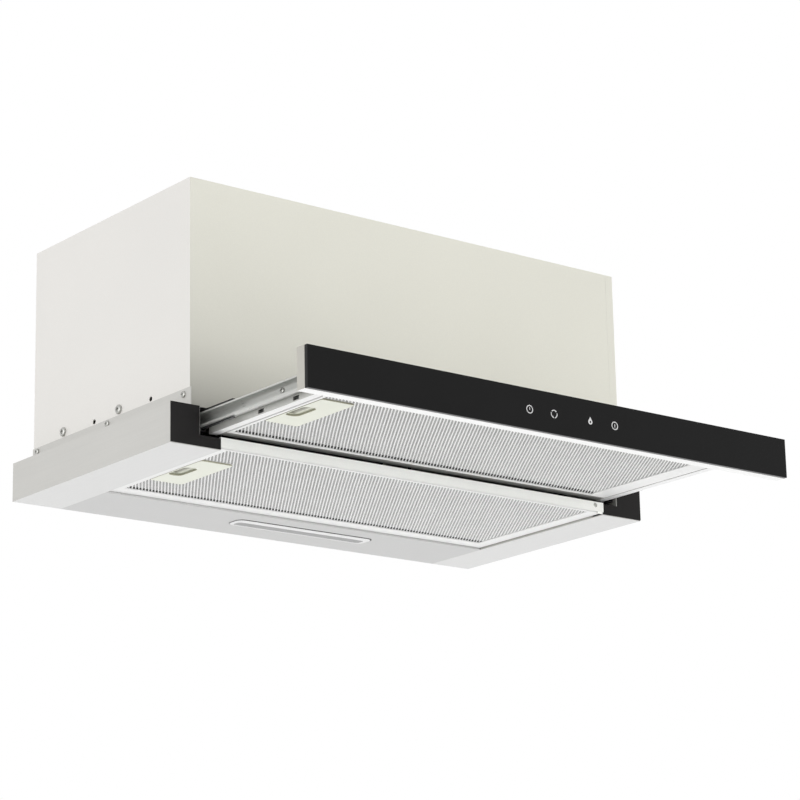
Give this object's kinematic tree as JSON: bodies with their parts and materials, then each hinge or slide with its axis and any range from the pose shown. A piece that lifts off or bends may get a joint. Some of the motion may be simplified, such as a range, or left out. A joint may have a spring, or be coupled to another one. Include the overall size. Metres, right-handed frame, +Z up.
{
  "type": "pull-out range hood",
  "caption": "Telescopic range hood for a wall cabinet: casing with blower, sliding glass-fronted drawer, drop-down mesh filters with latches, lamp and duct collar with flaps.",
  "frame": {"origin": "on the centre line, at the front plane of the base and at the level of the top of the base, which butts against the underside of the cabinet", "axes": "+X to the right seen from the front, +Y back towards the wall, +Z up"},
  "size_m": [0.598, 0.505, 0.3042],
  "materials": {
    "casing_sheet": "satin cream",
    "base_sheet": "satin light grey",
    "white_sheet": "satin white",
    "cap_plastic": "matt black",
    "zinc_steel": "zinc plated",
    "lamp_trim": "white",
    "lamp_cover": "frosted grey",
    "white_board": "white board",
    "cage_plastic": "black",
    "drawer_sheet": "satin light grey",
    "dark_sheet": "dark grey",
    "profile_metal": "satin anodised",
    "front_glass": "glossy black, back-painted",
    "key_print": "printed light grey",
    "green_board": "solder resist",
    "lead_sleeve": "black sleeve",
    "filter_frame_metal": "satin",
    "filter_mesh_metal": "expanded mesh",
    "latch_plastic": "cream",
    "spring_steel": "bright wire",
    "collar_plastic": "black",
    "blower_plastic": "dark grey",
    "motor_steel": "laminated steel",
    "bush_rubber": "matt",
    "box_plastic": "light grey"
  },
  "bodies": {
    "housing": {"casing_front_shell": "casing_sheet", "casing_right_side": "casing_sheet", "casing_rear_panel": "casing_sheet", "casing_top_plate": "casing_sheet", "base_side_left": "base_sheet", "base_side_right": "base_sheet", "rear_base_plate": "base_sheet", "front_beam": "white_sheet", "end_cap_left": "cap_plastic", "end_cap_right": "cap_plastic", "beam_rivet": "zinc_steel", "flange_screws": "zinc_steel", "side_screws": "zinc_steel", "lamp_bezel": "lamp_trim", "lamp_lens": "lamp_cover", "lamp_board": "white_board", "slide_outer_left": "zinc_steel", "slide_outer_right": "zinc_steel", "outlet_collar": "collar_plastic", "blower_side_left": "blower_plastic", "blower_side_right": "blower_plastic", "blower_wrap": "blower_plastic", "motor_stator": "motor_steel", "motor_bracket": "zinc_steel", "motor_bushes": "bush_rubber", "control_box": "box_plastic", "control_box_lid": "box_plastic", "control_board": "green_board", "cable_grommet": "bush_rubber", "wiring_harness": "lead_sleeve"},
    "drawer": {"slide_inner_left": "zinc_steel", "slide_inner_right": "zinc_steel", "slide_screws": "zinc_steel", "drawer_side_left": "drawer_sheet", "drawer_side_right": "drawer_sheet", "drawer_rear_beam": "dark_sheet", "drawer_top_cover": "drawer_sheet", "front_profile": "profile_metal", "glass_panel": "front_glass", "touch_icons": "key_print", "touch_board": "green_board", "touch_lead": "lead_sleeve"},
    "left_cage": {"slide_cage_left": "cage_plastic"},
    "right_cage": {"slide_cage_right": "cage_plastic"},
    "front_filter": {"front_filter_frame": "filter_frame_metal", "front_filter_mesh": "filter_mesh_metal", "front_latch_plate": "latch_plastic", "front_latch_springs": "spring_steel"},
    "front_latch": {"front_latch_slider": "latch_plastic"},
    "rear_filter": {"rear_filter_frame": "filter_frame_metal", "rear_filter_mesh": "filter_mesh_metal", "rear_latch_plate": "latch_plastic", "rear_latch_springs": "spring_steel"},
    "rear_latch": {"rear_latch_slider": "latch_plastic"},
    "fan_rotor": {"impeller_disc": "blower_plastic", "impeller_rings": "blower_plastic", "impeller_blades": "blower_plastic", "motor_rotor": "motor_steel"},
    "left_flap": {"flap_left": "collar_plastic"},
    "right_flap": {"flap_right": "collar_plastic"}
  },
  "joints": [
    {"name": "drawer_slide", "type": "slide", "parent": "housing", "child": "drawer", "axis": [0, -1, 0], "range_m": [-0.199, 0]},
    {"name": "left_cage_slide", "type": "slide", "parent": "housing", "child": "left_cage", "axis": [0, -1, 0], "range_m": [-0.0995, 0]},
    {"name": "right_cage_slide", "type": "slide", "parent": "housing", "child": "right_cage", "axis": [0, -1, 0], "range_m": [-0.0995, 0]},
    {"name": "front_filter_hinge", "type": "hinge", "parent": "drawer", "child": "front_filter", "pos_m": [0.2387, -0.10325, -0.0205], "axis": [0, -1, 0], "range_deg": [0, 75]},
    {"name": "front_latch_slide", "type": "slide", "parent": "front_filter", "child": "front_latch", "axis": [1, 0, 0], "range_m": [0, 0.005], "stiffness_N_per_m": 400, "springref_m": -0.005, "deforming": ["front_latch_springs"]},
    {"name": "rear_filter_hinge", "type": "hinge", "parent": "housing", "child": "rear_filter", "pos_m": [0.2427, 0.1025, -0.0364], "axis": [0, -1, 0], "range_deg": [0, 75]},
    {"name": "rear_latch_slide", "type": "slide", "parent": "rear_filter", "child": "rear_latch", "axis": [1, 0, 0], "range_m": [0, 0.005], "stiffness_N_per_m": 400, "springref_m": -0.005, "deforming": ["rear_latch_springs"]},
    {"name": "fan_spin", "type": "hinge", "parent": "housing", "child": "fan_rotor", "pos_m": [0, 0.184, 0.098], "axis": [1, 0, 0], "continuous": true},
    {"name": "left_flap_hinge", "type": "hinge", "parent": "housing", "child": "left_flap", "pos_m": [-0.0026, 0.148, 0.2364], "axis": [0, 1, 0], "range_deg": [0, 80]},
    {"name": "right_flap_hinge", "type": "hinge", "parent": "housing", "child": "right_flap", "pos_m": [0.0026, 0.148, 0.2364], "axis": [0, -1, 0], "range_deg": [0, 80]}
  ],
  "couplings": [
    {"joint": "left_cage_slide", "follows": "drawer_slide", "ratio": 0.5},
    {"joint": "right_cage_slide", "follows": "drawer_slide", "ratio": 0.5}
  ]
}
